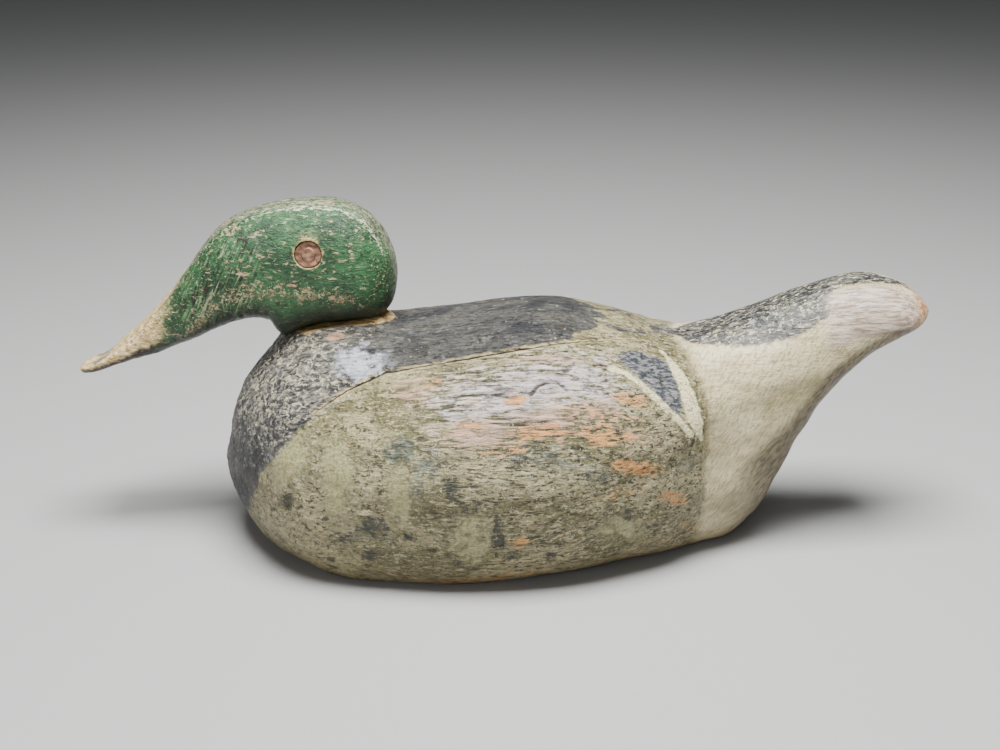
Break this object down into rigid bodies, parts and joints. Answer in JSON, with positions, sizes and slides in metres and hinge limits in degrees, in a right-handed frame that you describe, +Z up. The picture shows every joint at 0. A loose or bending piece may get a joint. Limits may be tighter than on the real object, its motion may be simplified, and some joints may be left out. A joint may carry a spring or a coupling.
{
  "type": "duck decoy",
  "caption": "Carved wooden duck decoy standing on its flat underside: a full rounded body with an upswept tail, and a separate head with a long low bill on a raised neck seat.",
  "frame": {"origin": "centre of the bounding box on the surface that the decoy stands on", "axes": "+X from bill to tail, +Y to the duck's right side, +Z up; the duck faces -X"},
  "size_m": [0.42, 0.1544, 0.1755],
  "materials": {
    "body_paint": "worn old paint, khaki grey sides, black back and breast, on weathered wood",
    "head_paint": "worn dark green paint with an ochre bill, on weathered wood",
    "eye_copper": "tarnished copper brown"
  },
  "bodies": {
    "root": {"body": "body_paint", "head": "head_paint", "left_eye_tack": "eye_copper", "right_eye_tack": "eye_copper"}
  },
  "joints": []
}
